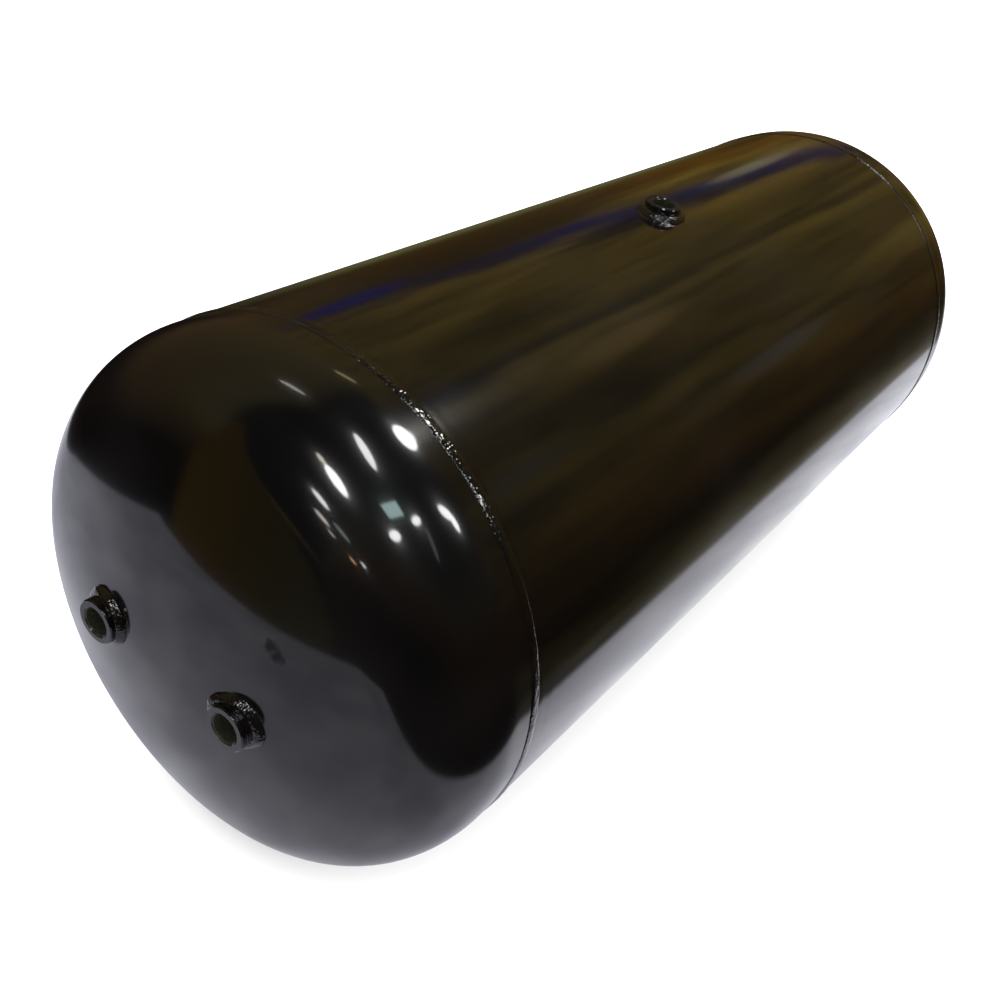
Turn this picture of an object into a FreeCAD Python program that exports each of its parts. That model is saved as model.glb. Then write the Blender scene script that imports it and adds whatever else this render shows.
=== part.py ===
"""Horizontal steel air reservoir: a rolled shell, two dished heads and five welded ports.

The tank lies along X on its two girth welds, with Z up and the origin on the floor under
its middle. All sizes are in millimetres, and every one is a cell of the sheet Sizes.
"""
import FreeCAD, Part
import math
import os
import re

import Sketcher

doc = FreeCAD.newDocument("AirReservoir")

# ---------------------------------------------------------------- driving sizes
SIZES = [
    ("ShellDiameter", 396.0, "outside of the shell and of the heads' straight flange"),
    ("ShellWall", 3.0, "steel plate of the rolled shell"),
    ("SeamSpacing", 802.0, "between the centres of the two girth seams"),
    ("RootGap", 1.5, "from the shell's square edge to the seam centre, filled by the girth weld"),
    ("HeadWall", 3.0, "steel plate of the pressed heads"),
    ("CrownRadius", 396.0, "outside of the head's crown"),
    ("KnuckleRadius", 79.0, "outside of the head's knuckle"),
    ("FlangeLength", 19.0, "from the seam centre to the start of the knuckle"),
    ("LapLength", 15.0, "joggled edge of the head, inside the shell"),
    ("ShoulderLength", 3.0, "axial length of the joggle's slope"),
    ("GirthToeShell", 3.5, "girth weld's toe on the shell, from the seam centre"),
    ("GirthToeHead", 5.0, "girth weld's toe on the head, from the seam centre"),
    ("GirthCrown", 1.2, "girth weld's height above the shell"),
    ("SeamGap", 2.0, "gap between the shell's rolled edges, filled by the seam weld"),
    ("SeamWidth", 7.0, "seam weld's width outside"),
    ("SeamCrown", 0.8, "seam weld's height above the shell"),
    ("PortOffset", 60.0, "head port's axis from the tank's axis"),
    ("PortDiameter", 32.0, "outside of a port boss"),
    ("PortBore", 20.5, "inside of a port's thread, M22 x 1.5"),
    ("PortLength", 20.0, "whole length of a port boss"),
    ("PortStand", 9.5, "port's face above the wall, along the port's axis"),
    ("PortMouth", 1.2, "chamfer at the mouth of the bore"),
    ("PortEdge", 0.8, "chamfer at the outer edge of the face"),
    ("PortCollar", 3.0, "collar in front of the sealing groove"),
    ("PortGrooveWidth", 1.0, "turned groove behind the collar"),
    ("PortGrooveDepth", 0.6, "turned groove behind the collar"),
    ("PortWeldLeg", 4.5, "fillet weld round a port"),
    ("PortWeldLip", 0.6, "thickness of that weld at its top"),
    ("PortWeldSink", 2.0, "depth that the weld's blank starts under the wall's surface"),
]

sheet = doc.addObject("Spreadsheet::Sheet", "Sizes")
for row, (alias, size, use) in enumerate(SIZES, start=1):
    sheet.set(f"A{row}", alias)
    sheet.set(f"B{row}", str(size))
    sheet.setAlias(f"B{row}", alias)
    sheet.set(f"C{row}", use)
doc.recompute()


def expr(formula):
    """Formulas name the sizes plainly, and this points each name at its cell."""
    return re.sub(r"\b[A-Z]\w+", r"Sizes.\g<0>", formula)


# ---------------------------------------------------------------- places that pieces share
RADIUS = "(ShellDiameter / 2)"
BORE_RADIUS = "(PortBore / 2)"
BOSS_RADIUS = "(PortDiameter / 2)"
INNER_RADIUS = f"({RADIUS} - ShellWall)"
AXIS_HEIGHT = f"({RADIUS} + GirthCrown)"
SHELL_END = "(SeamSpacing / 2 - RootGap)"

# The crown and knuckle arcs of a head meet where their centres and the joint are in line.
KNUCKLE_Y = f"({RADIUS} - KnuckleRadius)"
CENTRES_APART = "(CrownRadius - KnuckleRadius)"
CENTRES_APART_X = f"sqrt({CENTRES_APART} ^ 2 - {KNUCKLE_Y} ^ 2)"
CROWN_CENTRE = f"(FlangeLength - {CENTRES_APART_X})"
HEAD_APEX = f"({CROWN_CENTRE} + CrownRadius)"

# A head port's axis meets the crown here, from the seam centre.
HEAD_PORT_FOOT = f"({CROWN_CENTRE} + sqrt(CrownRadius ^ 2 - PortOffset ^ 2))"

ALONG_Z = FreeCAD.Vector(0, 0, 1)


def value(formula):
    """The number that a formula gives with the sheet as it stands."""
    result = sheet.evalExpression(expr(formula))
    return float(getattr(result, "Value", result))


def bind(owner, **formulas):
    for name, formula in formulas.items():
        owner.setExpression(name, expr(formula))


def place(owner, x="0", y="0", z="0", turn=FreeCAD.Rotation()):
    """Turn a sub-part about its own origin, and bind where that origin stands."""
    owner.Placement = FreeCAD.Placement(FreeCAD.Vector(value(x), value(y), value(z)), turn)
    bind(owner, **{"Placement.Base.x": x, "Placement.Base.y": y, "Placement.Base.z": z})


def facing(end_sign):
    """Turn a piece that is drawn with X pointing out of the tank to its own end."""
    return FreeCAD.Rotation(ALONG_Z, 0 if end_sign > 0 else 180)


# ---------------------------------------------------------------- sketching
def new_body(label):
    body = doc.addObject("PartDesign::Body", label)
    body.Label = label
    return body


def new_sketch(body, name, role):
    sketch = body.newObject("Sketcher::SketchObject", name)
    plane = next(feature for feature in body.Origin.OriginFeatures if feature.Role == role)
    sketch.AttachmentSupport = [(plane, "")]
    sketch.MapMode = "FlatFace"
    return sketch


def pin(sketch, kind, geometry, vertex, formula):
    """Hold one coordinate of a vertex at its formula, measured from the sketch's origin."""
    index = sketch.addConstraint(
        Sketcher.Constraint(kind, -1, 1, geometry, vertex, value(formula)))
    sketch.setExpression(f"Constraints[{index}]", expr(formula))


def arc_between(start, end, radius):
    """An arc from start to end that bulges to the left of the way, or right if radius < 0."""
    chord = end - start
    middle = (start + end) * 0.5
    side = FreeCAD.Vector(-chord.y, chord.x, 0).normalize() * math.copysign(1, radius)
    reach = math.sqrt(radius ** 2 - (chord.Length / 2) ** 2)
    top = middle + side * (abs(radius) - reach)
    return Part.Arc(start, top, end)


def closed_outline(sketch, corners):
    """Draw corners (x, y, radius of the edge that follows, or None) as one pinned loop."""
    points = [FreeCAD.Vector(value(x), value(y), 0) for x, y, _ in corners]
    edges = []
    for number, (_, _, bulge) in enumerate(corners):
        start, end = points[number], points[(number + 1) % len(points)]
        if bulge is None:
            edges.append(Part.LineSegment(start, end))
        else:
            edges.append(arc_between(start, end, value(bulge)))
    drawn = [sketch.addGeometry(edge) for edge in edges]

    # An arc runs anticlockwise in a sketch, so one drawn the other way starts at its far end.
    ends = []
    for number, geometry in enumerate(drawn):
        starts_here = sketch.getPoint(geometry, 1).isEqual(points[number], 1e-6)
        ends.append((1, 2) if starts_here else (2, 1))
    for number, (x, y, bulge) in enumerate(corners):
        here, before = drawn[number], drawn[number - 1]
        sketch.addConstraint(Sketcher.Constraint(
            "Coincident", before, ends[number - 1][1], here, ends[number][0]))
        pin(sketch, "DistanceX", here, ends[number][0], x)
        pin(sketch, "DistanceY", here, ends[number][0], y)
        if bulge is not None:
            size = bulge.lstrip("-")
            index = sketch.addConstraint(Sketcher.Constraint("Radius", here, value(size)))
            sketch.setExpression(f"Constraints[{index}]", expr(size))


def pinned_circle(sketch, x, y, radius):
    centre = FreeCAD.Vector(value(x), value(y), 0)
    geometry = sketch.addGeometry(Part.Circle(centre, ALONG_Z, value(radius)))
    pin(sketch, "DistanceX", geometry, 3, x)
    pin(sketch, "DistanceY", geometry, 3, y)
    index = sketch.addConstraint(Sketcher.Constraint("Radius", geometry, value(radius)))
    sketch.setExpression(f"Constraints[{index}]", expr(radius))


def spin(body, name, corners):
    """Revolve an outline drawn beside the X axis."""
    sketch = new_sketch(body, f"{name}Outline", "XY_Plane")
    closed_outline(sketch, corners)
    solid = body.newObject("PartDesign::Revolution", name)
    solid.Profile = sketch
    solid.ReferenceAxis = (sketch, ["H_Axis"])
    solid.Angle = 360.0
    doc.recompute()


def cut_through(body, name, sketch, backwards=False, both_ways=False):
    """Cut a sketch right through the body, and see that it did take metal away."""
    doc.recompute()
    before = body.Shape.Volume
    cut = body.newObject("PartDesign::Pocket", name)
    cut.Profile = sketch
    cut.Type = "ThroughAll"
    cut.Reversed = backwards
    cut.Midplane = both_ways
    doc.recompute()
    if body.Shape.Volume >= before:
        raise RuntimeError(f"{name} cut nothing from {body.Label}")


# ---------------------------------------------------------------- shell
def make_shell():
    """Plate rolled to a tube. Its edges stop short of each other, and a port passes through."""
    body = new_body("shell")
    section = new_sketch(body, "ShellSection", "YZ_Plane")
    pinned_circle(section, "0", "0", RADIUS)
    pinned_circle(section, "0", "0", INNER_RADIUS)
    tube = body.newObject("PartDesign::Pad", "RolledTube")
    tube.Profile = section
    tube.Midplane = True
    bind(tube, Length=f"2 * {SHELL_END}")

    slit = new_sketch(body, "SeamGapSection", "YZ_Plane")
    within, beyond = f"({INNER_RADIUS} - ShellWall)", f"({RADIUS} + ShellWall)"
    closed_outline(slit, [
        (within, "-SeamGap / 2", None),
        (beyond, "-SeamGap / 2", None),
        (beyond, "SeamGap / 2", None),
        (within, "SeamGap / 2", None),
    ])
    cut_through(body, "SeamGapCut", slit, both_ways=True)

    hole = new_sketch(body, "PortHoleCircle", "XY_Plane")
    pinned_circle(hole, "0", "0", BOSS_RADIUS)
    cut_through(body, "PortHole", hole, backwards=True)
    place(body, z=AXIS_HEIGHT)


def make_seam_weld():
    """Weld along the shell: it fills the gap, with a low bead that stops at the girth welds."""
    def height(radius, width):
        return f"sqrt({radius} ^ 2 - ({width} / 2) ^ 2)"

    body = new_body("shell_seam_weld")
    inside, outside = height(INNER_RADIUS, "SeamGap"), height(RADIUS, "SeamGap")
    filling = new_sketch(body, "FillingSection", "YZ_Plane")
    closed_outline(filling, [
        (inside, "-SeamGap / 2", None),
        (outside, "-SeamGap / 2", f"-{RADIUS}"),
        (outside, "SeamGap / 2", None),
        (inside, "SeamGap / 2", INNER_RADIUS),
    ])
    fill = body.newObject("PartDesign::Pad", "Filling")
    fill.Profile = filling
    fill.Midplane = True
    bind(fill, Length=f"2 * {SHELL_END}")

    toe = height(RADIUS, "SeamWidth")
    rise = f"({RADIUS} + SeamCrown - {toe})"
    bead_radius = f"((SeamWidth ^ 2 / 4 + {rise} ^ 2) / (2 * {rise}))"
    section = new_sketch(body, "BeadSection", "YZ_Plane")
    closed_outline(section, [
        (toe, "-SeamWidth / 2", f"-{bead_radius}"),
        (toe, "SeamWidth / 2", RADIUS),
    ])
    bead = body.newObject("PartDesign::Pad", "Bead")
    bead.Profile = section
    bead.Midplane = True
    bind(bead, Length="SeamSpacing - 2 * GirthToeShell")
    place(body, z=AXIS_HEIGHT)


# ---------------------------------------------------------------- heads
def make_head(label, end_sign):
    """Torispherical head with a joggled edge that slips inside the shell.

    It is drawn with X pointing out of the tank and its seam centre at the origin. The joggle
    keeps the plate's thickness round the slope, so its inner corners sit further along.
    """
    body = new_body(label)
    inner_flange = f"({RADIUS} - HeadWall)"
    lap_outer, lap_inner = INNER_RADIUS, f"({INNER_RADIUS} - HeadWall)"
    slope = "atan(ShellWall / ShoulderLength)"
    shift = f"(HeadWall * tan({slope} / 2))"
    joint_x = f"({CROWN_CENTRE} + {CENTRES_APART_X} * CrownRadius / {CENTRES_APART})"
    joint_y = f"({KNUCKLE_Y} * CrownRadius / {CENTRES_APART})"
    inner_crown = "(CrownRadius - HeadWall)"
    inner_knuckle = "(KnuckleRadius - HeadWall)"
    inner_joint_x = f"({CROWN_CENTRE} + {CENTRES_APART_X} * {inner_crown} / {CENTRES_APART})"
    inner_joint_y = f"({KNUCKLE_Y} * {inner_crown} / {CENTRES_APART})"
    spin(body, "Dish", [
        ("-LapLength", lap_inner, None),
        ("-LapLength", lap_outer, None),
        ("0", lap_outer, None),
        ("ShoulderLength", RADIUS, None),
        ("FlangeLength", RADIUS, "KnuckleRadius"),
        (joint_x, joint_y, "CrownRadius"),
        (HEAD_APEX, "0", None),
        (f"({HEAD_APEX} - HeadWall)", "0", f"-{inner_crown}"),
        (inner_joint_x, inner_joint_y, f"-{inner_knuckle}"),
        ("FlangeLength", inner_flange, None),
        (f"(ShoulderLength + {shift})", inner_flange, None),
        (shift, lap_inner, None),
    ])
    holes = new_sketch(body, "PortHoleCircles", "YZ_Plane")
    pinned_circle(holes, "PortOffset", "0", BOSS_RADIUS)
    pinned_circle(holes, "-PortOffset", "0", BOSS_RADIUS)
    cut_through(body, "PortHoles", holes, backwards=True)
    place(body, x=f"{end_sign} * SeamSpacing / 2", z=AXIS_HEIGHT, turn=facing(end_sign))


def make_girth_weld(label, end_sign):
    """Single-run weld all round: it fills the groove between shell edge and head shoulder."""
    body = new_body(label)
    width = "(GirthToeShell + GirthToeHead)"
    bead_radius = f"(({width} ^ 2 / 4 + GirthCrown ^ 2) / (2 * GirthCrown))"
    spin(body, "Bead", [
        ("-RootGap", INNER_RADIUS, None),
        ("-RootGap", RADIUS, None),
        ("-GirthToeShell", RADIUS, bead_radius),
        ("GirthToeHead", RADIUS, None),
        ("ShoulderLength", RADIUS, None),
        ("0", INNER_RADIUS, None),
    ])
    place(body, x=f"{end_sign} * SeamSpacing / 2", z=AXIS_HEIGHT, turn=facing(end_sign))


# ---------------------------------------------------------------- ports
def make_boss(label):
    """Turned steel boss, tapped right through, with its face at the origin and X pointing out."""
    body = new_body(label)
    behind = "(-PortCollar - PortGrooveWidth)"
    groove = f"({BOSS_RADIUS} - PortGrooveDepth)"
    spin(body, "Turning", [
        ("-PortLength", BORE_RADIUS, None),
        ("-PortLength", BOSS_RADIUS, None),
        (behind, BOSS_RADIUS, None),
        (behind, groove, None),
        ("-PortCollar", groove, None),
        ("-PortCollar", BOSS_RADIUS, None),
        ("-PortEdge", BOSS_RADIUS, None),
        ("0", f"({BOSS_RADIUS} - PortEdge)", None),
        ("0", f"({BORE_RADIUS} + PortMouth)", None),
        ("-PortMouth", BORE_RADIUS, None),
    ])
    return body


def make_port_weld(label, wall, foot, normal, axis):
    """Fillet weld round a boss: a cone square to the wall, less the boss's space and the wall.

    foot is where the boss's axis meets the wall's surface, as three formulas.
    """
    at = FreeCAD.Vector(*[value(formula) for formula in foot])
    blank = doc.addObject("Part::Cone", f"{label}_blank")
    bind(blank,
         Radius1=f"{BOSS_RADIUS} + PortWeldLip + PortWeldLeg + PortWeldSink",
         Radius2=f"{BOSS_RADIUS} + PortWeldLip",
         Height="PortWeldLeg + PortWeldSink")
    blank.Placement = FreeCAD.Placement(
        at - normal * value("PortWeldSink"), FreeCAD.Rotation(ALONG_Z, normal))

    space = doc.addObject("Part::Cylinder", f"{label}_boss_space")
    bind(space, Radius=BOSS_RADIUS, Height="2 * PortLength")
    space.Placement = FreeCAD.Placement(
        at - axis * value("PortLength"), FreeCAD.Rotation(ALONG_Z, axis))

    ring = doc.addObject("Part::Cut", f"{label}_ring")
    ring.Base, ring.Tool = blank, space
    weld = doc.addObject("Part::Cut", label)
    weld.Label = label
    weld.Base, weld.Tool = ring, wall


def make_head_ports(end, end_sign):
    """Two ports on a head, side by side, with their axes along the tank's."""
    crown = doc.addObject("Part::Sphere", f"{end}_crown_space")
    bind(crown, Radius="CrownRadius")
    place(crown, x=f"{end_sign} * (SeamSpacing / 2 + {CROWN_CENTRE})", z=AXIS_HEIGHT)
    foot_x = f"{end_sign} * (SeamSpacing / 2 + {HEAD_PORT_FOOT})"
    face_x = f"{end_sign} * (SeamSpacing / 2 + {HEAD_PORT_FOOT} + PortStand)"
    axis = FreeCAD.Vector(end_sign, 0, 0)
    for side, side_sign in (("left", 1), ("right", -1)):
        label = f"{end}_port_{side}"
        y = f"{side_sign} * PortOffset"
        place(make_boss(label), x=face_x, y=y, z=AXIS_HEIGHT, turn=facing(end_sign))
        lean = value("PortOffset / CrownRadius")
        normal = FreeCAD.Vector(end_sign * math.sqrt(1 - lean ** 2), side_sign * lean, 0)
        make_port_weld(f"{label}_weld", crown, (foot_x, y, AXIS_HEIGHT), normal, axis)


def make_shell_port():
    """Port at the middle of the shell, straight up."""
    skin = doc.addObject("Part::Cylinder", "shell_space")
    bind(skin, Radius=RADIUS, Height="SeamSpacing")
    place(skin, x="-SeamSpacing / 2", z=AXIS_HEIGHT,
          turn=FreeCAD.Rotation(ALONG_Z, FreeCAD.Vector(1, 0, 0)))
    top = f"{AXIS_HEIGHT} + {RADIUS}"
    upright = FreeCAD.Rotation(FreeCAD.Vector(1, 0, 0), ALONG_Z)
    place(make_boss("shell_port"), z=f"{top} + PortStand", turn=upright)
    make_port_weld("shell_port_weld", skin, ("0", "0", top), ALONG_Z, ALONG_Z)


# ---------------------------------------------------------------- build, check and write
make_shell()
make_seam_weld()
for end, end_sign in (("front", -1), ("rear", 1)):
    make_head(f"{end}_head", end_sign)
    make_girth_weld(f"{end}_girth_weld", end_sign)
    make_head_ports(end, end_sign)
make_shell_port()
doc.recompute()

NODES = ["shell", "shell_seam_weld", "shell_port", "shell_port_weld"]
for end in ("front", "rear"):
    NODES += [f"{end}_head", f"{end}_girth_weld"]
    for side in ("left", "right"):
        NODES += [f"{end}_port_{side}", f"{end}_port_{side}_weld"]

for item in doc.Objects:
    if {"Invalid", "Error"} & set(item.State):
        raise RuntimeError(f"{item.Label} is {item.State}")

os.makedirs("parts", exist_ok=True)
for label in NODES:
    shape = doc.getObjectsByLabel(label)[0].Shape
    if shape.isNull() or not shape.isValid() or len(shape.Solids) != 1:
        raise RuntimeError(f"{label} is not one valid solid")
    shape.exportStep(f"parts/{label}.step")
    print(f"{label}: {shape.Volume / 1000:.1f} cm3")
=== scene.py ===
"""A welded steel air reservoir in gloss black enamel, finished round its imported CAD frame.

The tank lies along X with Z up, and all lengths are in metres. Its front head is at -X and its
left side at +Y. Each piece stands for the CAD part of the same kind: shell, heads, weld beads
and tapped ports.
"""
import math

import bpy
from mathutils import Matrix, Quaternion, Vector, noise


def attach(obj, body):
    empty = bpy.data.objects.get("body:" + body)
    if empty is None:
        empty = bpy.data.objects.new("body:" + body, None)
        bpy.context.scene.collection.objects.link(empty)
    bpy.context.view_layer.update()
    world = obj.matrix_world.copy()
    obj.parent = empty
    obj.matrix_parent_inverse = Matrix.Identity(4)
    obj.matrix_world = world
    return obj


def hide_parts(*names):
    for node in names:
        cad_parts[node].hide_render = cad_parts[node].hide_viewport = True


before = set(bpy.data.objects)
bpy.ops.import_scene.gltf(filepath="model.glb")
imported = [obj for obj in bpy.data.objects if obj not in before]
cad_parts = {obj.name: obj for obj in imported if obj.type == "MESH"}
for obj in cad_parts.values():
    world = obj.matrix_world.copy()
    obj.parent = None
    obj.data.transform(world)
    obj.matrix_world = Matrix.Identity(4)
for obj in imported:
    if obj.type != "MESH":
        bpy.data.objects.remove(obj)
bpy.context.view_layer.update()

# ------------------------------------------------------------------ shell
# The shell is 3 mm mild steel plate, rolled to a tube and butt-welded along one side. It was
# blasted, primed and sprayed with gloss black enamel. The girth welds' heat drew its ends in a
# few hundredths of a millimetre, which only the reflections show.
MM = 0.001
SHELL_RADIUS = 198 * MM
PLATE = 3 * MM
GIRTH_X = 401 * MM                    # girth seam, either way from the middle
ROOT_GAP = 1.5 * MM
SEAM_GAP = 2 * MM
GIRTH_CROWN = 1.2 * MM
AXIS = Vector((0, 0, SHELL_RADIUS + GIRTH_CROWN))
SHELL_END = GIRTH_X - ROOT_GAP
PORT_RADIUS = 16 * MM
PORT_SIDES = 96
DRAWN_IN = 0.05 * MM                  # by the weld's heat: how far, how far in, and its wave
DRAWN_REACH = 14 * MM
DRAWN_WAVE = 24 * MM
ROLLING_LUMPS = 0.05 * MM
AROUND = 288                          # steps round the tank, about 4 mm each
SAME_PLACE = 0.004 * MM               # vertices closer than this are one
NEAR = 0.1 * MM                       # and closer than this to a face, they lie on it
TURN = 2 * math.pi
ALONG_X = Vector((1, 0, 0))
UP = Vector((0, 0, 1))


def deselect():
    bpy.ops.object.select_all(action="DESELECT")


def pick(piece):
    """Make this piece the only one selected, and the active one."""
    deselect()
    piece.select_set(True)
    bpy.context.view_layer.objects.active = piece


def edit(piece):
    """Edit one piece with its whole mesh selected."""
    pick(piece)
    bpy.ops.object.mode_set(mode="EDIT")
    bpy.ops.mesh.select_all(action="SELECT")


def close_up(piece):
    """Merge what a modifier left double, fill the open ends and face it outwards."""
    edit(piece)
    bpy.ops.mesh.remove_doubles(threshold=SAME_PLACE)
    bpy.ops.mesh.fill_holes(sides=0)
    bpy.ops.mesh.select_all(action="SELECT")
    bpy.ops.mesh.normals_make_consistent(inside=False)
    bpy.ops.object.mode_set(mode="OBJECT")


def outline(name, points):
    """Draw a closed chain of edges through the points, from one vertex extruded on and on."""
    deselect()
    bpy.ops.mesh.primitive_plane_add(size=MM, location=points[0])
    bpy.ops.object.transform_apply(location=True, rotation=True, scale=True)
    piece = bpy.context.object
    piece.name = piece.data.name = name
    edit(piece)
    bpy.ops.mesh.merge(type="CENTER")
    for start, stop in zip(points, points[1:] + points[:1]):
        bpy.ops.mesh.extrude_region_move(TRANSFORM_OT_translate={"value": stop - start})
    bpy.ops.mesh.select_all(action="SELECT")
    bpy.ops.mesh.remove_doubles(threshold=SAME_PLACE)
    bpy.ops.object.mode_set(mode="OBJECT")
    return piece


def turned(name, points, steps=AROUND, angle=TURN, start=0.0):
    """Turn an outline of (distance along, radius) round X, from start radians past straight up."""
    piece = outline(name, [Vector((along, 0, radius)) for along, radius in points])
    piece.data.transform(Matrix.Rotation(start, 4, "X"))
    lathe = piece.modifiers.new("lathe", "SCREW")
    lathe.axis = "X"
    lathe.angle = angle
    lathe.steps = lathe.render_steps = steps
    lathe.use_merge_vertices = True
    bpy.ops.object.modifier_apply(modifier=lathe.name)
    close_up(piece)
    return piece


def settle(piece, foot, axis=ALONG_X, turn=0.0):
    """Lay a piece drawn along X with its foot here and its axis that way. The object stays put."""
    seat = Matrix.Translation(foot) @ axis.to_track_quat("X", "Z").to_matrix().to_4x4()
    piece.data.transform(seat @ Matrix.Rotation(turn, 4, "X"))


def smooth(piece, angle=35):
    """Shade the piece smooth, but for edges sharper than this many degrees."""
    pick(piece)
    bpy.ops.object.shade_smooth_by_angle(angle=math.radians(angle))


def cut(piece, cutter):
    """Cut a closed shape out of the piece, and throw the shape away."""
    pick(piece)
    knife = piece.modifiers.new("cut", "BOOLEAN")
    knife.operation = "DIFFERENCE"
    knife.solver = "EXACT"
    knife.object = cutter
    bpy.ops.object.modifier_apply(modifier=knife.name)
    bpy.data.objects.remove(cutter, do_unlink=True)


def spaced(start, stop, step):
    """Even places from start up to but without stop, about a step apart."""
    count = max(1, round(abs(stop - start) / step))
    return [start + (stop - start) * k / count for k in range(count)]


def drill(centre, axis):
    """A rod to cut a port's hole with."""
    deselect()
    bpy.ops.mesh.primitive_cylinder_add(vertices=PORT_SIDES, radius=PORT_RADIUS, depth=60 * MM)
    rod = bpy.context.object
    aim = axis.to_track_quat("Z", "Y").to_matrix().to_4x4()
    rod.matrix_world = Matrix.Translation(centre) @ aim
    return rod


# the rings of vertices stand close together near the girth welds, and again round the port
near_weld = SHELL_END - 45 * MM
past_weld = SHELL_END - 105 * MM
half = (spaced(SHELL_END, near_weld, 1.5 * MM) + spaced(near_weld, past_weld, 4 * MM)
        + spaced(past_weld, 30 * MM, 12 * MM) + spaced(30 * MM, 0, 3 * MM))
stations = [-x for x in half] + [0] + half[::-1]
inner_radius = SHELL_RADIUS - PLATE
half_gap = math.asin(SEAM_GAP / 2 / SHELL_RADIUS)
shell = turned(
    "rolled_shell",
    [(x, SHELL_RADIUS) for x in stations] + [(x, inner_radius) for x in stations[::-6]],
    angle=TURN - 2 * half_gap, start=half_gap - math.pi / 2)
settle(shell, AXIS)
for vertex in shell.data.vertices:
    spoke = Vector((0, vertex.co.y, vertex.co.z)) - AXIS
    if spoke.length > SHELL_RADIUS - PLATE / 6:
        depth = SHELL_END - abs(vertex.co.x)
        drawn = DRAWN_IN * math.exp(-depth / DRAWN_REACH) * math.cos(TURN * depth / DRAWN_WAVE)
        lumps = noise.noise(Vector((
            vertex.co.x / (250 * MM), spoke.y / (111 * MM), spoke.z / (111 * MM))))
        vertex.co += spoke.normalized() * (ROLLING_LUMPS * lumps - abs(drawn))
cut(shell, drill(AXIS + UP * SHELL_RADIUS, UP))
smooth(shell)


def linear(code):
    """A hex colour as light, from sRGB."""
    parts = [int(code[k:k + 2], 16) / 255 for k in (1, 3, 5)]
    return [p / 12.92 if p <= 0.04045 else ((p + 0.055) / 1.055) ** 2.4 for p in parts] + [1.0]


def add(tree, kind, settings=None):
    """Add a node, and set its properties and sockets to values, hex colours or other nodes."""
    node = tree.nodes.new(kind)
    for name, setting in (settings or {}).items():
        if isinstance(setting, bpy.types.Node):
            setting = setting.outputs[0]
        if isinstance(setting, bpy.types.NodeSocket):
            tree.links.new(setting, node.inputs[name])
        elif isinstance(name, str) and hasattr(node, name):
            setattr(node, name, setting)
        else:
            code = isinstance(setting, str)
            node.inputs[name].default_value = linear(setting) if code else setting
    return node


def material(name):
    skin = bpy.data.materials.new(name)
    skin.use_nodes = True
    skin.node_tree.nodes.clear()
    return skin, skin.node_tree


BLACK = "#020202"
DUSTED = "#060505"
HAZE = 0.19                           # roughness of the paint under its gloss
COAT = 0.78
COAT_RUBBED = 0.1
COAT_ON_BARE = 0.3
CLOUD = 111 * MM                      # across a cloud of dust
PEEL_DEPTH = 0.2 * MM
GRIT = 1.7 * MM                       # the real specks are finer, and drawn so coarse to glint
GRIT_DEPTH = 0.9 * MM
RUBBED = 6.5 * MM                     # half the width of a rubbed spot, and of its ragged edge
RAGGED = 4 * MM
RAGGED_REACH = 9 * MM


def enamel(name, gloss=0.07, peel=0.02, peel_size=3.5 * MM, grit=0.0, marks=(), bore=None):
    """Black enamel: a clear deep gloss over a faint haze, with orange peel and a breath of dust.

    Grit is dust and spatter under the paint. Marks are the two ends of a spot rubbed dull, and
    bore is the colour of the steel that the plug kept bare.
    """
    skin, tree = material(name)
    place = add(tree, "ShaderNodeTexCoord").outputs["Object"]
    clouds = add(tree, "ShaderNodeTexNoise", {"Vector": place, "Scale": 1 / CLOUD, "Detail": 3.0})
    colour = add(tree, "ShaderNodeValToRGB", {"Fac": clouds})
    for element, position, code in zip(colour.color_ramp.elements, (0.45, 0.75), (BLACK, DUSTED)):
        element.position = position
        element.color = linear(code)
    veil = add(tree, "ShaderNodeMapRange", {
        "Value": clouds, "From Min": 0.35, "From Max": 0.7,
        "To Min": HAZE * 0.85, "To Max": HAZE * 1.2})
    peeled = add(tree, "ShaderNodeTexNoise", {
        "Vector": place, "Scale": 1 / peel_size, "Detail": 1.0})
    relief = add(tree, "ShaderNodeBump", {
        "Height": peeled, "Strength": peel, "Distance": PEEL_DEPTH})
    if grit:
        specks = add(tree, "ShaderNodeTexNoise", {
            "Vector": place, "Scale": 1 / GRIT, "Detail": 0.0})
        relief = add(tree, "ShaderNodeBump", {
            "Height": specks, "Normal": relief, "Strength": grit, "Distance": GRIT_DEPTH})
    coat = COAT
    if marks:
        ragged = add(tree, "ShaderNodeTexNoise", {
            "Vector": place, "Scale": 1 / RAGGED, "Detail": 3.0})
        away = [add(tree, "ShaderNodeVectorMath", {
            "operation": "DISTANCE", 0: place, 1: mark}).outputs["Value"] for mark in marks]
        nearest = add(tree, "ShaderNodeMath", {"operation": "MINIMUM", 0: away[0], 1: away[1]})
        worn = add(tree, "ShaderNodeMath", {
            "operation": "MULTIPLY_ADD", 0: ragged, 1: RAGGED_REACH, 2: nearest})
        coat = add(tree, "ShaderNodeMapRange", {
            "Value": worn, "From Min": RUBBED, "From Max": RUBBED + RAGGED,
            "To Min": COAT_RUBBED, "To Max": COAT})
    if bore:
        bare = add(tree, "ShaderNodeAttribute", {"attribute_name": "bare"}).outputs["Fac"]
        colour = add(tree, "ShaderNodeMixRGB", {0: bare, 1: colour, 2: bore})
        coat = add(tree, "ShaderNodeMapRange", {
            "Value": bare, "To Min": COAT, "To Max": COAT_ON_BARE})
    paint = add(tree, "ShaderNodeBsdfPrincipled", {
        "Base Color": colour, "Metallic": 0.0, "Roughness": veil, "IOR": 1.5,
        "Specular IOR Level": 0.12, "Coat Weight": coat, "Coat Roughness": gloss,
        "Coat IOR": 1.5, "Normal": relief, "Coat Normal": relief})
    add(tree, "ShaderNodeOutputMaterial", {"Surface": paint})
    return skin


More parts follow.
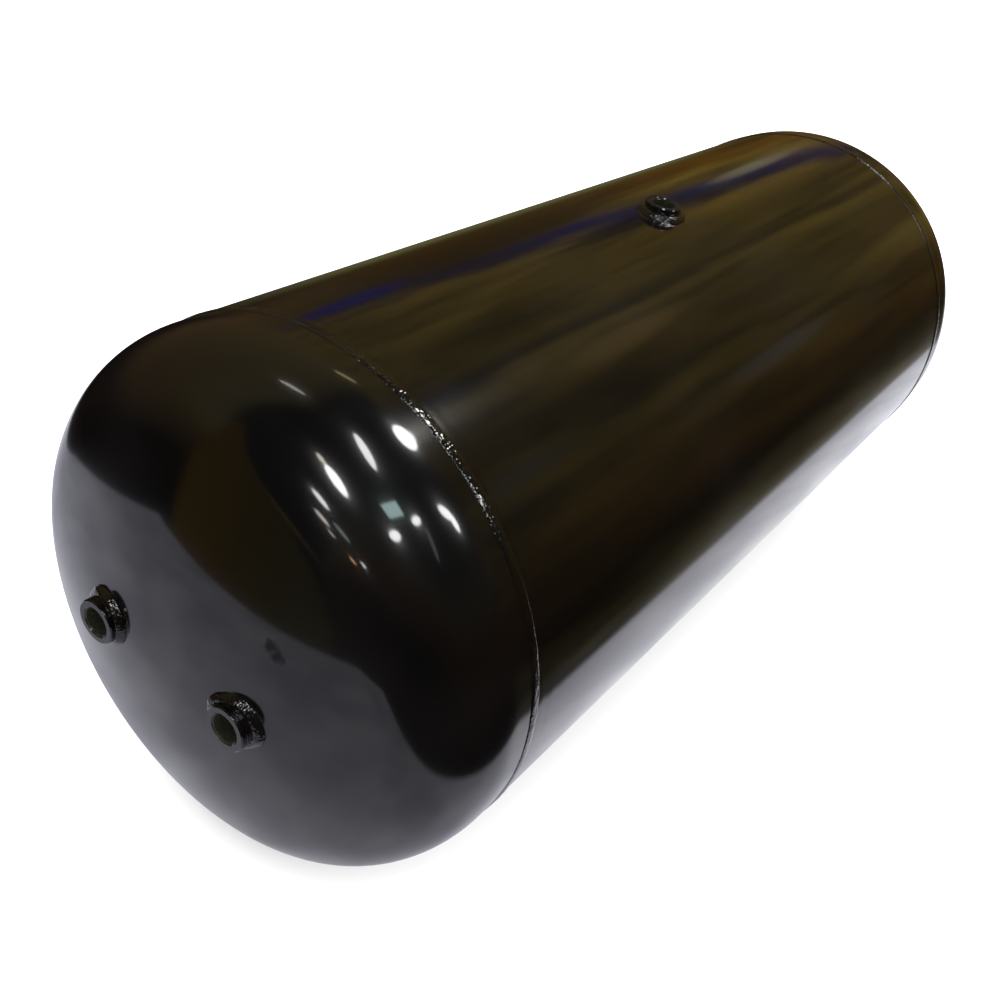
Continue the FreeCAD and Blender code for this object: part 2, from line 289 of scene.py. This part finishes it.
def finish(piece, skin, slot, *nodes):
    """Give a piece its material, put it under the root body and hide the CAD parts it stands for.
    The slot is not used.
    """
    piece.data.materials.clear()
    piece.data.materials.append(skin)
    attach(piece, "root")
    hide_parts(*nodes)


# sprayed on smooth plate and left to flow: a black mirror that draws all it faces into streaks
shell_enamel = enamel("gloss_black_enamel_on_rolled_plate", gloss=0.05)
finish(shell, shell_enamel, "shell_enamel", "shell")

# ------------------------------------------------------------------ heads
# Each head is a disc of 3 mm plate, pressed cold to a shallow crown with a tight knuckle and a
# short straight flange. Its edge is stepped in, so that it slips inside the shell and backs the
# girth weld. The enamel is the shell's.
CROWN_RADIUS = 396 * MM
KNUCKLE_RADIUS = 79 * MM
FLANGE = 19 * MM
LAP = 15 * MM
SHOULDER = 3 * MM
PORT_SIDE = 60 * MM
PORT_REACH = 117 * MM                 # from the girth seam to the middle of a port's hole
PRESSING_LUMPS = 0.25 * MM
knuckle_y = SHELL_RADIUS - KNUCKLE_RADIUS
crown_centre = FLANGE - math.sqrt((CROWN_RADIUS - KNUCKLE_RADIUS) ** 2 - knuckle_y ** 2)
knuckle_end = math.pi / 2 - math.asin(knuckle_y / (CROWN_RADIUS - KNUCKLE_RADIUS))


def arc(along, out, radius, start, stop, count):
    """Points on an arc whose angle runs from straight outwards, 0, to the head's tip, 90 deg."""
    angles = [start + (stop - start) * k / count for k in range(count + 1)]
    return [(along + radius * math.sin(a), out + radius * math.cos(a)) for a in angles]


step_shift = PLATE * math.tan(math.atan(PLATE / SHOULDER) / 2)
head_outline = (
    [(-LAP, inner_radius), (0, inner_radius), (SHOULDER, SHELL_RADIUS)]
    + [(x, SHELL_RADIUS) for x in spaced(6 * MM, FLANGE, 3 * MM)]
    + arc(FLANGE, knuckle_y, KNUCKLE_RADIUS, 0, knuckle_end, 28)
    + arc(crown_centre, 0, CROWN_RADIUS, knuckle_end, math.pi / 2, 40)[1:]
    + arc(crown_centre, 0, CROWN_RADIUS - PLATE, math.pi / 2, knuckle_end, 30)
    + arc(FLANGE, knuckle_y, KNUCKLE_RADIUS - PLATE, knuckle_end, 0, 12)[1:]
    + [(SHOULDER + step_shift, inner_radius), (step_shift, inner_radius - PLATE),
       (-LAP, inner_radius - PLATE)])
# the same mirror on a dome, so lamps show as ovals, and one dull smudge on the front head
smudge = (Vector((-509.2, -73.7, 268.0)) * MM, Vector((-508.8, -79.0, 263.4)) * MM)
head_enamel = enamel("gloss_black_enamel_on_pressed_plate", marks=smudge)
for end, sign in (("front", -1), ("rear", 1)):
    seam = AXIS + ALONG_X * sign * GIRTH_X
    head = turned(f"dished_head_{end}", head_outline)
    settle(head, seam, ALONG_X * sign)
    for vertex in head.data.vertices:
        spot = vertex.co - seam
        depth = max(0.0, abs(spot.x) - FLANGE) / CROWN_RADIUS
        lumps = noise.noise(spot / (91 * MM) + Vector((3 * sign, 0, 0)))
        vertex.co.x -= sign * PRESSING_LUMPS * (0.6 + lumps) * depth
    for side in (-1, 1):
        cut(head, drill(seam + Vector((sign * PORT_REACH, side * PORT_SIDE, 0)), ALONG_X))
    smooth(head)
    finish(head, head_enamel, "head_enamel", f"{end}_head")

# ------------------------------------------------------------------ weld beads
# The girth welds and the shell's own seam are single runs of MIG weld, with a ripple every two
# or three millimetres where the pool froze. They were painted as welded, so the enamel stands
# in the hollows and the crests glint.
GIRTH_TOE_SHELL = 3.5 * MM
GIRTH_TOE_HEAD = 5 * MM
GIRTH_STEPS = 1800                    # 0.7 mm each, and 0.5 mm along the seam, for the ripples
RIPPLE = 2.6 * MM
ROOT_SINK = 0.3 * MM                  # how far the root of a bead lies under the plate's face
TOE_TUCK = 0.2 * MM
TOE_WANDER = 0.5 * MM
TOE_NIBBLE = 0.4 * MM
TOE_SHORT = 0.3 * MM
GIRTH_SINK = 0.05 * MM                # so that the toes meet the plate that the heat drew in
SPATTER = 1.7 * MM                    # the real spatter is finer, and drawn so coarse to show
SEAM_WIDTH = 7 * MM
SEAM_CROWN = 0.8 * MM
SEAM_STEPS = 1500
ACROSS = 14


def ripples(run, across, seed, pitch=RIPPLE):
    """Height from 0 to 1 on a bead: crescents that bow back along the run, never quite alike.

    Clots, swells and specks of spatter, each of its own length along the run, break them up.
    """
    wander = noise.noise(Vector((run / (9 * MM), seed, 0)))
    phase = run / pitch + 0.9 * across ** 2 + 1.4 * wander
    crescent = abs(math.sin(math.pi * phase)) ** 0.7
    clots = noise.noise(Vector((run / (5 * MM), across * 1.8, seed + 9)))
    swell = noise.noise(Vector((run / (26 * MM), across, seed + 4)))
    specks = noise.noise(Vector((run / SPATTER, across * 3.0, seed + 2)))
    height = 0.56 + 0.09 * crescent + 0.14 * clots + 0.2 * swell + 0.08 * specks
    return min(1.0, max(0.0, height))


def bead_shape(across):
    """A bead's section from 0 at its toes to 1 at its crown, steep where it meets the plate."""
    return 0.6 * (1 - across ** 12) + 0.4 * (1 - across ** 2)


bead_middle = (GIRTH_TOE_HEAD - GIRTH_TOE_SHELL) / 2
bead_half = (GIRTH_TOE_HEAD + GIRTH_TOE_SHELL) / 2
crown_points = [(bead_middle + bead_half * math.sin(math.pi * (k / ACROSS - 0.5)), SHELL_RADIUS)
                for k in range(ACROSS + 1)]
bead_root = SHELL_RADIUS - ROOT_SINK
girth_outline = (
    [(-ROOT_GAP, inner_radius), (-ROOT_GAP, bead_root), (TOE_TUCK - GIRTH_TOE_SHELL, bead_root)]
    + crown_points
    + [(GIRTH_TOE_HEAD - TOE_TUCK, bead_root), (SHOULDER - ROOT_SINK, bead_root),
       (0, inner_radius)])
# thick and wet between the ripples, so the bead is black with a broken line of glints
weld_enamel = enamel("black_enamel_pooled_on_weld", gloss=0.03, peel=0.1, peel_size=2.2 * MM,
                     grit=0.26)
for end, sign in (("front", -1), ("rear", 1)):
    seam = AXIS + ALONG_X * sign * GIRTH_X
    bead = turned(f"girth_bead_{end}", girth_outline, steps=GIRTH_STEPS)
    settle(bead, seam, ALONG_X * sign)
    for vertex in bead.data.vertices:
        spot = vertex.co - seam
        spoke = Vector((0, spot.y, spot.z))
        if spoke.length > SHELL_RADIUS - NEAR:
            run = math.atan2(spot.z, spot.y) * SHELL_RADIUS
            across = max(-1.0, min(1.0, (sign * spot.x - bead_middle) / bead_half))
            # the toes wander, and spatter nibbles them
            edge = noise.noise(Vector((run / (11 * MM), round(across) * 3, sign * 5)))
            nibble = noise.noise(Vector((run / (1.8 * MM), round(across) * 3, sign * 8)))
            widening = TOE_WANDER * edge + TOE_NIBBLE * nibble - TOE_SHORT
            vertex.co.x += sign * across * widening
            rise = GIRTH_CROWN * ripples(run, across, sign) * bead_shape(across)
            vertex.co += spoke.normalized() * (rise - GIRTH_SINK)
    smooth(bead, 60)
    finish(bead, weld_enamel, "weld_enamel", f"{end}_girth_weld")

seam_run = 2 * (GIRTH_X - GIRTH_TOE_SHELL)
plate_edge = SEAM_GAP / 2
seam_toe = SEAM_WIDTH / 2


def round_shell(across):
    """How far out the shell's face lies, this far to one side of where it is furthest out."""
    return math.sqrt(SHELL_RADIUS ** 2 - across ** 2)


seam_section = [(round_shell(z), z) for z in
                [seam_toe * math.sin(math.pi * (k / 10 - 0.5)) for k in range(11)]]
seam_section += [(bead_root, seam_toe - TOE_TUCK), (bead_root, plate_edge),
                 (inner_radius, plate_edge), (inner_radius, -plate_edge),
                 (bead_root, -plate_edge), (bead_root, TOE_TUCK - seam_toe)]
seam_bead = outline("shell_seam_bead", [
    Vector((-seam_run / 2, y, AXIS.z + z)) for y, z in seam_section])
sweep = seam_bead.modifiers.new("sweep", "SCREW")
sweep.axis = "X"
sweep.angle = 0
sweep.screw_offset = seam_run
sweep.steps = sweep.render_steps = SEAM_STEPS
sweep.use_merge_vertices = True
bpy.ops.object.modifier_apply(modifier=sweep.name)
close_up(seam_bead)
for vertex in seam_bead.data.vertices:
    z = vertex.co.z - AXIS.z
    if vertex.co.y > round_shell(z) - NEAR:
        across = max(-1.0, min(1.0, z / seam_toe))
        edge = noise.noise(Vector((vertex.co.x / (7 * MM), round(across) * 3, 2)))
        vertex.co.z += across * 0.4 * MM * edge
        vertex.co.y += SEAM_CROWN * ripples(vertex.co.x, across, 7) * bead_shape(across)
smooth(seam_bead, 60)
finish(seam_bead, weld_enamel, "weld_enamel", "shell_seam_weld")

# ------------------------------------------------------------------ ports
# The ports are steel bosses turned from bar, 32 mm across, with a grooved collar and an M22 x 1.5
# thread tapped right through. Each is set in its hole and fillet-welded outside. They were
# plugged while the tank was painted, so the thread inside is dull bare steel.
BORE_RADIUS = 10.25 * MM
THREAD_ROOT = 11.0 * MM
THREAD_PITCH = 1.5 * MM
PORT_LENGTH = 20 * MM
PORT_STAND = 9.5 * MM
COLLAR = 3 * MM
GROOVE = 1 * MM
GROOVE_DEPTH = 0.6 * MM
MOUTH = 1.2 * MM
EDGE = 0.8 * MM
BROKEN = 0.2 * MM                     # edges broken with a file
groove_foot = -COLLAR - GROOVE

boss = turned("tapped_boss", [
    (-PORT_LENGTH, BORE_RADIUS), (-PORT_LENGTH, PORT_RADIUS - BROKEN),
    (BROKEN - PORT_LENGTH, PORT_RADIUS), (groove_foot - BROKEN, PORT_RADIUS),
    (groove_foot, PORT_RADIUS - BROKEN), (groove_foot, PORT_RADIUS - GROOVE_DEPTH),
    (-COLLAR, PORT_RADIUS - GROOVE_DEPTH), (-COLLAR, PORT_RADIUS - BROKEN),
    (BROKEN - COLLAR, PORT_RADIUS), (-EDGE, PORT_RADIUS), (0, PORT_RADIUS - EDGE),
    (0, BORE_RADIUS + MOUTH), (-MOUTH, BORE_RADIUS)], steps=PORT_SIDES)
# a tap is a ridge wound into a helix, which cuts the thread and runs out past both ends
tap_start = -PORT_LENGTH - 2 * THREAD_PITCH
tap_turns = round((PORT_LENGTH + 4 * THREAD_PITCH) / THREAD_PITCH)
tap_heel = BORE_RADIUS - 0.4 * MM
tap = outline("tap", [Vector((tap_start + share * THREAD_PITCH, 0, radius)) for radius, share in (
    (tap_heel, -0.44), (THREAD_ROOT, -0.07), (THREAD_ROOT, 0.07), (tap_heel, 0.44))])
tapping = tap.modifiers.new("tapping", "SCREW")
tapping.axis = "X"
tapping.screw_offset = THREAD_PITCH
tapping.iterations = tap_turns
tapping.steps = tapping.render_steps = PORT_SIDES // 2
tapping.use_merge_vertices = False
bpy.ops.object.modifier_apply(modifier=tapping.name)
close_up(tap)
cut(boss, tap)
smooth(boss, 30)
bare = boss.data.attributes.new("bare", "FLOAT", "POINT")
for vertex in boss.data.vertices:
    thread = math.hypot(vertex.co.y, vertex.co.z) < THREAD_ROOT + NEAR
    bare.data[vertex.index].value = 1.0 if thread else 0.0

# a thinner, softer coat on tool marks, with the thread inside dull and dark where it was plugged
port_enamel = enamel("black_enamel_on_turned_steel", gloss=0.12, peel=0.15, peel_size=1.5 * MM,
                     grit=0.12, bore="#1E1E18")
# wet paint over a rough hand-laid run, so it sparkles all round the boss
fillet_enamel = enamel("black_enamel_on_port_fillet", gloss=0.04, peel=0.2, peel_size=1.6 * MM,
                       grit=0.5)

FILLET = 4.6 * MM                     # leg of the fillet up the boss
FILLET_TOE = 5.0 * MM                 # and along the wall
FILLET_LIP = 0.6 * MM
FILLET_SINK = 1.2 * MM
FILLET_RIPPLE = 2.2 * MM
FILLET_RUN = 20 * MM                  # radius at which the run's ripples are spaced
LUMP_SPREAD = 13                      # degrees round the boss


def weld_ring(name, foot, axis, seed, joins, rise_of_wall):
    """A hand-laid fillet that follows the wall round a boss, with a lump at each start or stop."""
    toe, lip = PORT_RADIUS + FILLET_TOE, PORT_RADIUS
    face = [(FILLET * math.sin(climb * math.pi / 2) ** 1.2,
             toe + (lip + FILLET_LIP - toe) * climb ** 1.2)
            for climb in [k / 10 for k in range(11)]]
    ring = turned(name, [(-FILLET_SINK, lip), (-FILLET_SINK, toe)] + face + [(FILLET, lip)],
                  steps=360)
    for vertex in ring.data.vertices:
        high, left, up = vertex.co
        if high > -NEAR and math.hypot(left, up) > lip + NEAR:
            bearing = math.degrees(math.atan2(left, up))
            spoke = Vector((0, left, up)).normalized()
            clots = noise.noise(Vector((spoke.y * 2.2, spoke.z * 2.2, seed)))
            fine = ripples(math.radians(bearing) * FILLET_RUN, 2 * high / FILLET - 1, seed,
                           FILLET_RIPPLE)
            nearest = min(abs((bearing - join + 180) % 360 - 180) for join in joins)
            lump = math.exp(-(nearest / LUMP_SPREAD) ** 2)
            body = math.sin(math.pi * min(1, max(0, 0.12 + 0.88 * high / FILLET)))
            swell = MM * (1.1 * (fine - 0.6) + 0.5 * clots + 1.5 * lump)
            vertex.co += (spoke * 0.8 + ALONG_X * 0.6) * swell * (0.25 + 0.75 * body)
    settle(ring, foot, axis)
    for vertex in ring.data.vertices:
        vertex.co += axis * rise_of_wall(vertex.co)
    smooth(ring, 60)
    return ring


def copy_of(piece, name):
    """A copy of the piece with a mesh of its own."""
    twin = piece.copy()
    twin.data = piece.data.copy()
    twin.name = twin.data.name = name
    bpy.context.collection.objects.link(twin)
    return twin


def crown_x(y, z):
    """How far past the girth seam a head's crown lies, this far out from the tank's axis."""
    return crown_centre + math.sqrt(CROWN_RADIUS ** 2 - y ** 2 - z ** 2)


foot_x = GIRTH_X + crown_x(PORT_SIDE, 0)
# where each fillet's run starts and stops, in degrees round its axis from straight up
JOINS = {"front_left": (-27,), "front_right": (-62, 98), "rear_left": (140,),
         "rear_right": (20, 60), "shell": (150, 240)}
number = 0
for end, sign in (("front", -1), ("rear", 1)):
    for side, side_sign in (("left", 1), ("right", -1)):
        number += 1
        out = ALONG_X * sign
        foot = Vector((sign * foot_x, side_sign * PORT_SIDE, AXIS.z))
        port = copy_of(boss, f"port_{end}_{side}")
        settle(port, foot + out * PORT_STAND, out, 1.3 * number)
        finish(port, port_enamel, "port_enamel", f"{end}_port_{side}")
        ring = weld_ring(f"port_fillet_{end}_{side}", foot, out, 3.1 * number,
                         JOINS[f"{end}_{side}"],
                         lambda at: GIRTH_X + crown_x(at.y, at.z - AXIS.z) - foot_x)
        finish(ring, fillet_enamel, "weld_enamel", f"{end}_port_{side}_weld")

top = AXIS + UP * SHELL_RADIUS
settle(boss, top + UP * PORT_STAND, UP, 0.4)
boss.name = boss.data.name = "port_shell"
finish(boss, port_enamel, "port_enamel", "shell_port")
ring = weld_ring("port_fillet_shell", top, UP, 20.5, JOINS["shell"],
                 lambda at: round_shell(at.y) - SHELL_RADIUS)
finish(ring, fillet_enamel, "weld_enamel", "shell_port_weld")

# ------------------------------------------------------------------ floor
# The tank stands on a pale table in a wide dim hall. The floor is plain and pale to the eye. In
# the enamel only the table shows white, with its edges, as a painted glow; past it the hall's
# floor is dark.
TABLE = {"X": (-1.15, 1.6), "Y": (-0.40, 0.67)}
TABLE_EDGE = 20 * MM                  # half the width over which an edge blurs
TABLE_CLOUD = 167 * MM
SKY_WHITE = 2.7
SOFT = "SMOOTHSTEP"

deselect()
bpy.ops.mesh.primitive_grid_add(x_subdivisions=4, y_subdivisions=4, size=60)
floor = bpy.context.object
floor.name = "pale_floor"
# matt white board: flat and even to the eye. Where the enamel mirrors it, it glows with painted
# light, bright towards the rear and in a painted shadow towards the front end
skin, tree = material("plain_pale_floor")
place = add(tree, "ShaderNodeTexCoord").outputs["Object"]
axes = add(tree, "ShaderNodeSeparateXYZ", {"Vector": place}).outputs
on_table = 1.0
for axis, (low, high) in TABLE.items():
    for edge, blur in ((low, TABLE_EDGE), (high, -TABLE_EDGE)):
        inside = add(tree, "ShaderNodeMapRange", {
            "interpolation_type": SOFT, "Value": axes[axis],
            "From Min": edge - blur, "From Max": edge + blur})
        on_table = add(tree, "ShaderNodeMath", {"operation": "MULTIPLY", 0: inside, 1: on_table})
clouds = add(tree, "ShaderNodeTexNoise", {
    "Vector": place, "Scale": 1 / TABLE_CLOUD, "Detail": 3.0})
cloudy = add(tree, "ShaderNodeMapRange", {
    "interpolation_type": SOFT, "Value": clouds, "From Min": 0.35, "From Max": 0.65})
# painted light and painted shadow on the table as the enamel sees it: lighter towards the rear,
# darker towards the front end
lamplit = add(tree, "ShaderNodeMixRGB", {0: cloudy, 1: "#DCDCE2", 2: "#F6F6F8"})
shadowed = add(tree, "ShaderNodeMixRGB", {0: cloudy, 1: "#8A888E", 2: "#B8B8BC"})
out_of_shadow = add(tree, "ShaderNodeMapRange", {
    "interpolation_type": SOFT, "Value": axes["X"], "From Min": -0.45, "From Max": -0.05})
painted_table_light = add(tree, "ShaderNodeMixRGB", {0: out_of_shadow, 1: shadowed, 2: lamplit})
matt = add(tree, "ShaderNodeBsdfDiffuse", {"Color": "#F4F4F4"})
shaded = add(tree, "ShaderNodeBsdfDiffuse", {"Color": "#60606A"})
# in the enamel the table glows with this painted light, though it is no lamp
painted_glow = add(tree, "ShaderNodeEmission", {"Color": painted_table_light, "Strength": 0.85})
mirrored = add(tree, "ShaderNodeAddShader", {0: shaded, 1: painted_glow})
clear = add(tree, "ShaderNodeBsdfTransparent")
in_enamel = add(tree, "ShaderNodeMixShader", {0: on_table, 1: clear, 2: mirrored})
in_gloss = add(tree, "ShaderNodeLightPath").outputs["Is Glossy Ray"]
choice = add(tree, "ShaderNodeMixShader", {0: in_gloss, 1: matt, 2: in_enamel})
add(tree, "ShaderNodeOutputMaterial", {"Surface": choice})
floor.data.materials.append(skin)

# ------------------------------------------------------------------ hall and lamps
# The hall round the table is dim, warm and olive, with pale roof panels in rows along the tank.
# Rows of lamps hang over it. To everything but the enamel the light is soft, white and even.
world = bpy.data.worlds.new("hall")
bpy.context.scene.world = world
world.use_nodes = True
tree = world.node_tree
tree.nodes.clear()
way = add(tree, "ShaderNodeTexCoord").outputs["Generated"]
axes = add(tree, "ShaderNodeSeparateXYZ", {"Vector": way}).outputs
stretched = add(tree, "ShaderNodeMapping", {"Vector": way, "Scale": (1.6, 9.0, 9.0)})
streaks = add(tree, "ShaderNodeTexNoise", {
    "Vector": stretched, "Scale": 1.0, "Detail": 4.0, "Roughness": 0.6})

# Each row works out one number for the way looked in: its name, what is done, and to what.
# "around" is the bearing in degrees from straight up towards the right, looking along the tank,
# and "bearing" and "height" are a compass bearing from +X and the angle above the floor.
TO_DEGREES = 180 / math.pi
WORKING = (
    ("right", "MULTIPLY", "Y", -1.0),
    ("right angle", "ARCTAN2", "right", "Z"),
    ("around", "MULTIPLY", "right angle", TO_DEGREES),
    # looking along the tank, the roof's rows lean over to the left as they come nearer
    ("from far", "MULTIPLY_ADD", "X", -1.0, 0.93),
    ("nearer", "MAXIMUM", "from far", 0.0),
    ("root", "POWER", "nearer", 0.5),
    ("lean", "MULTIPLY", "root", 62.0),
    ("on the left", SOFT, "around", -15.0, -45.0),
    ("leaning", "MULTIPLY", "lean", "on the left"),
    ("shake", "MULTIPLY_ADD", "streaks", 20.0, -10.0),
    ("leant", "ADD", "around", "leaning"),
    ("bent", "ADD", "leant", "shake"),
    # low on the left it is dim, with a paler rim at the very bottom
    ("low", SOFT, "around", -60.0, -74.0),
    ("not far", SOFT, "X", 0.88, 0.80),
    ("dim", "MULTIPLY", "low", "not far"),
    ("lowest", SOFT, "around", -100.0, -110.0),
    ("not so far", SOFT, "X", 0.91, 0.87),
    ("rim", "MULTIPLY", "lowest", "not so far"),
    # near the front end the roof's edge swings round
    ("behind", "MULTIPLY_ADD", "X", -1.0, -0.1),
    ("backwards", "MAXIMUM", "behind", 0.0),
    ("swing", "MULTIPLY", "backwards", 60.0),
    ("over the edge", SOFT, "around", -88.0, -60.0),
    ("swinging", "MULTIPLY", "over the edge", "swing"),
    ("swung", "ADD", "around", "swinging"),
    ("far", SOFT, "X", 0.55, 0.74),
    # an olive screen stands off the front head's left, with its top edge sloping away
    ("compass", "ARCTAN2", "Y", "X"),
    ("bearing", "MULTIPLY", "compass", TO_DEGREES),
    ("rise", "ARCSINE", "Z"),
    ("height", "MULTIPLY", "rise", TO_DEGREES),
    ("slope", "MULTIPLY_ADD", "bearing", 1.29, "height"),
    ("screen's side", SOFT, "bearing", 137.5, 140.0),
    ("screen's top", SOFT, "slope", 217.5, 212.5),
    ("screen", "MULTIPLY", "screen's side", "screen's top"),
    ("screen's far side", SOFT, "bearing", 143.0, 172.0),
)
seen = {"X": axes["X"], "Y": axes["Y"], "Z": axes["Z"], "streaks": streaks}
for name, work, *values in WORKING:
    values = [seen.get(value, value) for value in values]
    if work == SOFT:
        seen[name] = add(tree, "ShaderNodeMapRange", {
            "interpolation_type": SOFT, "Value": values[0],
            "From Min": values[1], "From Max": values[2]})
    else:
        seen[name] = add(tree, "ShaderNodeMath", {"operation": work, **dict(enumerate(values))})

# the hall's colours by bearing, at the far end and, where the middle is nearly black, near by
FAR_END = ((-165, "#2C261A"), (-118, "#74744E"), (-106, "#443C1C"), (-90, "#4C340A"),
           (-68, "#5C400E"), (-52, "#7A6628"), (-43, "#1C1C5C"), (-37, "#22223E"),
           (-28, "#7C6426"), (-10, "#86702C"), (-4, "#4A3A1C"), (2, "#907832"), (14, "#806A2A"),
           (30, "#6A5420"), (44, "#7C682C"), (62, "#745C24"), (80, "#5C4418"), (98, "#44300F"),
           (108, "#241A0A"), (122, "#4A4024"), (138, "#605A44"), (170, "#2C261A"))
NEAR_END = ((-180, "#241F18"), (-124, "#1E1712"), (-112, "#160E0C"), (-100, "#1E1510"),
            (-94, "#403020"), (-87, "#5C4828"), (-77, "#644E2C"), (-60, "#786438"),
            (-40, "#8C7A48"), (-26, "#90825A"), (-21, "#80744E"), (-14, "#302C28"),
            (0, "#242426"), (30, "#28282C"), (58, "#303028"), (72, "#544C38"), (86, "#483420"),
            (100, "#40281C"), (112, "#2C2018"), (124, "#1E1814"), (170, "#241F18"))
ends = []
for turn, bands in (("bent", FAR_END), ("swung", NEAR_END)):
    share = add(tree, "ShaderNodeMath", {
        "operation": "MULTIPLY_ADD", 0: seen[turn], 1: 1 / 360, 2: 0.5})
    colours = add(tree, "ShaderNodeValToRGB", {"Fac": share})
    while len(colours.color_ramp.elements) < len(bands):
        colours.color_ramp.elements.new(0.5)
    for element, (degrees, code) in zip(colours.color_ramp.elements, bands):
        element.position = (degrees + 180) / 360
        element.color = linear(code)
    ends.append(colours)
far_end, near_end = ends
gain = add(tree, "ShaderNodeMapRange", {
    "Value": streaks, "From Min": 0.33, "From Max": 0.67, "To Min": 0.3, "To Max": 1.7})
far_end = add(tree, "ShaderNodeVectorMath", {"operation": "SCALE", 0: far_end, "Scale": gain})
for share, code in (("dim", "#423010"), ("rim", "#62603C")):
    far_end = add(tree, "ShaderNodeMixRGB", {0: seen[share], 1: far_end, 2: code})
hall = add(tree, "ShaderNodeMixRGB", {0: seen["far"], 1: near_end, 2: far_end})
fading = add(tree, "ShaderNodeMixRGB", {0: seen["screen's far side"], 1: "#775A1E", 2: "#5A522A"})
hall = add(tree, "ShaderNodeMixRGB", {0: seen["screen"], 1: hall, 2: fading})

# soft patches of light: which way, how wide in degrees, colour
PATCHES = (((0.83, -0.12, 0.56), 4.5, "#C09C54"), ((0.88, -0.42, 0.22), 3.5, "#7C7464"),
           ((0.713, 0.02, 0.70), 3.5, "#443A3E"), ((0.74, -0.46, 0.49), 4, "#767052"),
           ((0.905, 0.37, 0.225), 2.6, "#A8A082"), ((0.02, 0.44, 0.90), 9, "#A09C80"),
           ((0.687, 0.683, 0.249), 4, "#26267A"))
for toward, width, code in PATCHES:
    facing = add(tree, "ShaderNodeVectorMath", {
        "operation": "DOT_PRODUCT", 0: way, 1: Vector(toward).normalized()}).outputs["Value"]
    patch = add(tree, "ShaderNodeMapRange", {
        "interpolation_type": SOFT, "Value": facing,
        "From Min": math.cos(math.radians(width)), "From Max": 1.0})
    hall = add(tree, "ShaderNodeMixRGB", {0: patch, 1: hall, 2: code})
in_gloss = add(tree, "ShaderNodeLightPath").outputs["Is Glossy Ray"]
colour = add(tree, "ShaderNodeMixRGB", {0: in_gloss, 1: "#FFFFFF", 2: hall})
strength = add(tree, "ShaderNodeMapRange", {"Value": in_gloss, "To Min": SKY_WHITE, "To Max": 1.0})
glow = add(tree, "ShaderNodeBackground", {"Color": colour, "Strength": strength})
add(tree, "ShaderNodeOutputWorld", {"Surface": glow})

# the lamps show in the enamel alone, and give no light to anything else
LAMP_HEIGHT = 3.0
LAMPS = (
    # x, y, length, width, turn, brightness, colour, shape
    (1.56, -0.42, 0.92, 0.60, 0, 25, "#FFFFFF", "ELLIPSE"),
    (-0.50, -0.41, 0.80, 0.26, 61, 22, "#FFFFFF", "ELLIPSE"),
    (-2.38, -0.36, 0.85, 0.42, 54, 30, "#FFFFFF", "ELLIPSE"),
    (-2.08, 0.12, 0.30, 0.18, 54, 14, "#FFF8E8", "ELLIPSE"),
    (-4.25, -0.12, 0.75, 0.40, 50, 20, "#FFFFFF", "ELLIPSE"),
    (-6.00, -0.25, 0.80, 0.50, 50, 12, "#FFFAF0", "ELLIPSE"),
    (-6.96, -0.75, 0.50, 0.40, 50, 8, "#FFFAF0", "ELLIPSE"),
    (-5.35, -1.11, 0.90, 0.45, 60, 4, "#D8E8E4", "ELLIPSE"),
    (-7.80, -2.21, 0.60, 0.40, 40, 14, "#FFC890", "ELLIPSE"),
    (-6.60, -2.60, 0.45, 0.35, 40, 20, "#FFFFFF", "ELLIPSE"),
    (-1.22, -1.56, 0.70, 0.38, -9, 12, "#C4E4E0", "RECTANGLE"),
    (-0.54, -2.06, 0.46, 0.26, 0, 26, "#FFFFFF", "ELLIPSE"),
    (-0.40, -2.95, 1.30, 0.20, 80, 2, "#C8C8D0", "ELLIPSE"),
    (-1.95, -2.12, 0.58, 0.36, 0, 26, "#FFFFFF", "ELLIPSE"),
    (1.28, -2.30, 0.90, 0.36, -33, 24, "#FFFFFF", "ELLIPSE"),
    (1.68, -2.72, 0.80, 0.36, -60, 24, "#FFFFFF", "ELLIPSE"),
    (-0.40, 1.35, 0.65, 0.12, 93, 6, "#FFFAF0", "ELLIPSE"),
    (1.80, 1.30, 0.50, 0.20, 113, 3, "#FFE8B0", "ELLIPSE"),
)
for x, y, length, width, turn, brightness, code, shape in LAMPS:
    bpy.ops.object.light_add(type="AREA", location=(x, y, LAMP_HEIGHT),
                             rotation=(0, 0, math.radians(turn)))
    lamp = bpy.context.object
    lamp.data.shape = shape
    lamp.data.size = length
    lamp.data.size_y = width
    lamp.data.color = linear(code)[:3]
    area = length * width * (math.pi / 4 if shape == "ELLIPSE" else 1)
    lamp.data.energy = brightness * math.pi * area
    lamp.visible_diffuse = False
    lamp.visible_camera = False
    lamp.visible_transmission = False

# ------------------------------------------------------------------ camera
# A phone held over the front head, a little off level. It looks down along the tank, from the
# front right, and its lens is a moderate wide angle.
HELD_AT = (-0.84651, -0.37209, 0.72328)
LOOKS_TOWARDS = Vector((0.71604, 0.38257, -0.58390))
ROLL = math.radians(14.801)
bpy.ops.object.camera_add(location=HELD_AT)
camera = bpy.context.object
aim = LOOKS_TOWARDS.to_track_quat("-Z", "Y") @ Quaternion((0, 0, 1), ROLL)
camera.rotation_euler = aim.to_euler()
camera.data.sensor_width = 36
camera.data.lens = 39.36
camera.data.clip_start = 0.05
bpy.context.scene.camera = camera
bpy.context.scene.view_settings.view_transform = "Standard"
